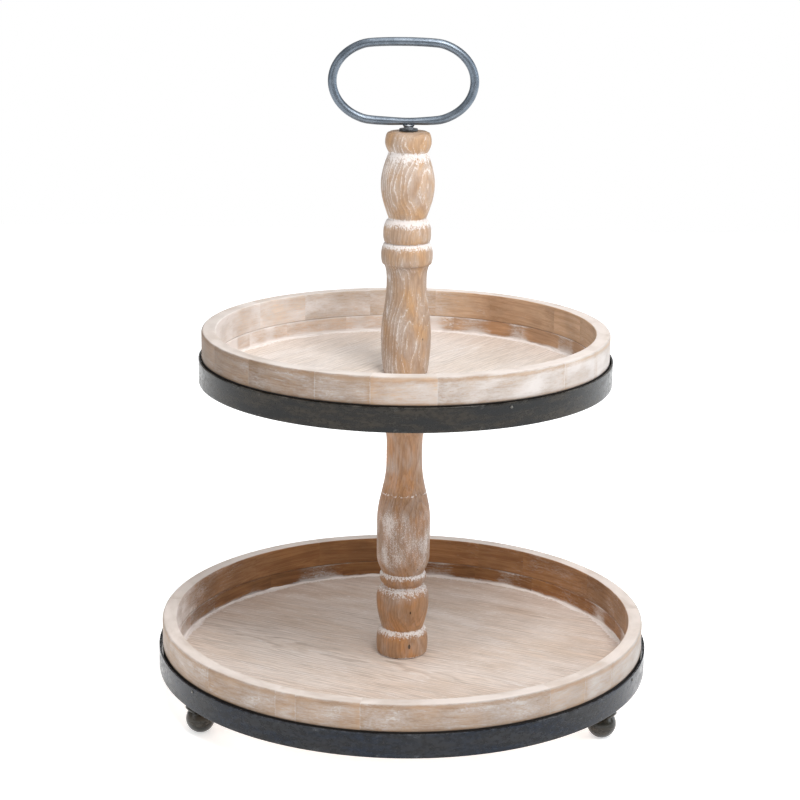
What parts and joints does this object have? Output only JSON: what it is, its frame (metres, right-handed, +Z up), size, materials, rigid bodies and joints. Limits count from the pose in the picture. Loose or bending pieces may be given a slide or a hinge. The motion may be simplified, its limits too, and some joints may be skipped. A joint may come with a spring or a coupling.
{
  "type": "tiered serving stand",
  "caption": "Round two-tier wooden serving stand: banded trays on turned posts with ball feet and an oval steel carrying handle that screws into the top.",
  "frame": {"origin": "on the floor under the posts' common axis, level with the bottoms of the ball feet", "axes": "+Z up along the posts, +X to the right across the handle, -Y to the front, midway between the two front feet"},
  "size_m": [0.4, 0.4, 0.5318],
  "materials": {
    "rim_wood": "whitewashed, matt",
    "post_wood": "stained and whitewashed, matt",
    "floor_veneer": "oak veneer, whitewashed, matt",
    "band_metal": "gunmetal, satin",
    "foot_metal": "dark bronze, satin",
    "handle_steel": "brushed and waxed",
    "brad_steel": "plain steel",
    "zinc_steel": "zinc plated",
    "insert_brass": "plain"
  },
  "bodies": {
    "base": {"lower_band": "band_metal", "lower_floor_panel": "floor_veneer", "lower_rim_base_ring": "rim_wood", "lower_rim_top_ring": "rim_wood", "lower_brad_1": "brad_steel", "lower_brad_2": "brad_steel", "lower_brad_3": "brad_steel", "ball_foot_left": "foot_metal", "ball_foot_right": "foot_metal", "ball_foot_rear": "foot_metal", "base_washer": "zinc_steel", "base_bolt": "zinc_steel", "lower_post_foot_insert": "insert_brass", "lower_post": "post_wood", "link_stud": "zinc_steel"},
    "upper_tray": {"upper_band": "band_metal", "upper_floor_panel": "floor_veneer", "upper_rim_base_ring": "rim_wood", "upper_rim_top_ring": "rim_wood", "upper_brad_1": "brad_steel", "upper_brad_2": "brad_steel", "upper_brad_3": "brad_steel"},
    "upper_post": {"upper_post": "post_wood", "upper_post_foot_insert": "insert_brass", "upper_post_head_insert": "insert_brass"},
    "handle_washer": {"handle_washer": "handle_steel"},
    "handle": {"handle_stud": "handle_steel", "handle_ring": "handle_steel"}
  },
  "joints": [
    {"name": "upper_tray_rise", "type": "slide", "parent": "base", "child": "upper_tray", "axis": [0, 0, 1], "range_m": [0, 0.0197]},
    {"name": "upper_post_turn", "type": "hinge", "parent": "upper_tray", "child": "upper_post", "pos_m": [0, 0, 0.2673], "axis": [0, 0, 1], "range_deg": [0, 5670]},
    {"name": "handle_rise", "type": "slide", "parent": "upper_post", "child": "handle_washer", "axis": [0, 0, 1], "range_m": [0, 0.0197]},
    {"name": "handle_turn", "type": "hinge", "parent": "handle_washer", "child": "handle", "pos_m": [0, 0, 0.4594], "axis": [0, 0, 1], "range_deg": [0, 5670]}
  ],
  "couplings": [
    {"joint": "upper_post_turn", "follows": "upper_tray_rise", "rad_per_m": 5026.5},
    {"joint": "handle_turn", "follows": "handle_rise", "rad_per_m": 5026.5}
  ]
}
